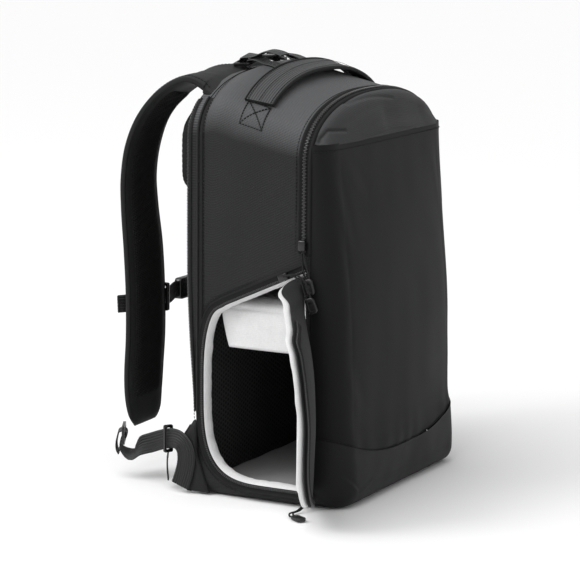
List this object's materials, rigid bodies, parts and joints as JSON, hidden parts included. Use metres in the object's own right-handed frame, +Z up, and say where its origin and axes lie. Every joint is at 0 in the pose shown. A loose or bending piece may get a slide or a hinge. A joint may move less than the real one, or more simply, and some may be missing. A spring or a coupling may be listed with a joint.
{
  "type": "camera backpack",
  "caption": "Camera backpack on its base with the side door open: padded bay, divider, zipped front pocket, back pads, shoulder straps and grab handle.",
  "frame": {"origin": "on the ground under the middle of the bag's base", "axes": "+Z up; +Y towards the wearer's back, so the straps are on the +Y side and the front pocket faces -Y; -X is the side with the open door"},
  "size_m": [0.3797, 0.2851, 0.4334],
  "materials": {
    "ripstop_fabric": "matt fine ripstop weave",
    "coated_fabric": "smooth coated cloth, satin",
    "brushed_lining": "soft brushed lining",
    "air_mesh": "ribbed open mesh over foam",
    "zip_tape": "woven tape with coil teeth",
    "webbing": "ribbed woven webbing",
    "moulded_plastic": "moulded, slightly glossy"
  },
  "bodies": {
    "root": {"body_shell": "ripstop_fabric", "pocket_hood": "ripstop_fabric", "back_panel": "ripstop_fabric", "near_back_piping": "ripstop_fabric", "far_back_piping": "ripstop_fabric", "door_flap": "ripstop_fabric", "near_shoulder_strap": "ripstop_fabric", "far_shoulder_strap": "ripstop_fabric", "near_wing": "ripstop_fabric", "far_wing": "ripstop_fabric", "front_pocket": "coated_fabric", "base_panel": "coated_fabric", "body_lining": "brushed_lining", "bay_divider": "brushed_lining", "door_pad": "brushed_lining", "upper_back_pad": "air_mesh", "lower_back_pad": "air_mesh", "near_strap_mesh": "air_mesh", "far_strap_mesh": "air_mesh", "front_zip": "zip_tape", "near_back_zip": "zip_tape", "far_back_zip": "zip_tape", "door_flap_zip": "zip_tape", "door_rim_zip": "zip_tape", "grab_handle": "webbing", "near_sternum_loop": "webbing", "far_sternum_loop": "webbing", "near_lower_web": "webbing", "far_lower_web": "webbing", "near_lower_tail": "webbing", "far_lower_tail": "webbing", "near_lifter_web": "webbing", "far_lifter_web": "webbing", "near_sternum_web": "webbing", "far_sternum_web": "webbing", "near_lower_buckle": "moulded_plastic", "far_lower_buckle": "moulded_plastic", "near_tri_glide": "moulded_plastic", "far_tri_glide": "moulded_plastic", "near_lifter_buckle": "moulded_plastic", "far_lifter_buckle": "moulded_plastic", "near_sternum_keeper": "moulded_plastic", "far_sternum_keeper": "moulded_plastic", "sternum_buckle": "moulded_plastic", "front_zip_slider": "moulded_plastic", "door_top_slider": "moulded_plastic", "door_bottom_slider": "moulded_plastic", "front_zip_pull": "moulded_plastic", "door_top_pull": "moulded_plastic", "door_bottom_pull": "moulded_plastic"}
  },
  "joints": []
}
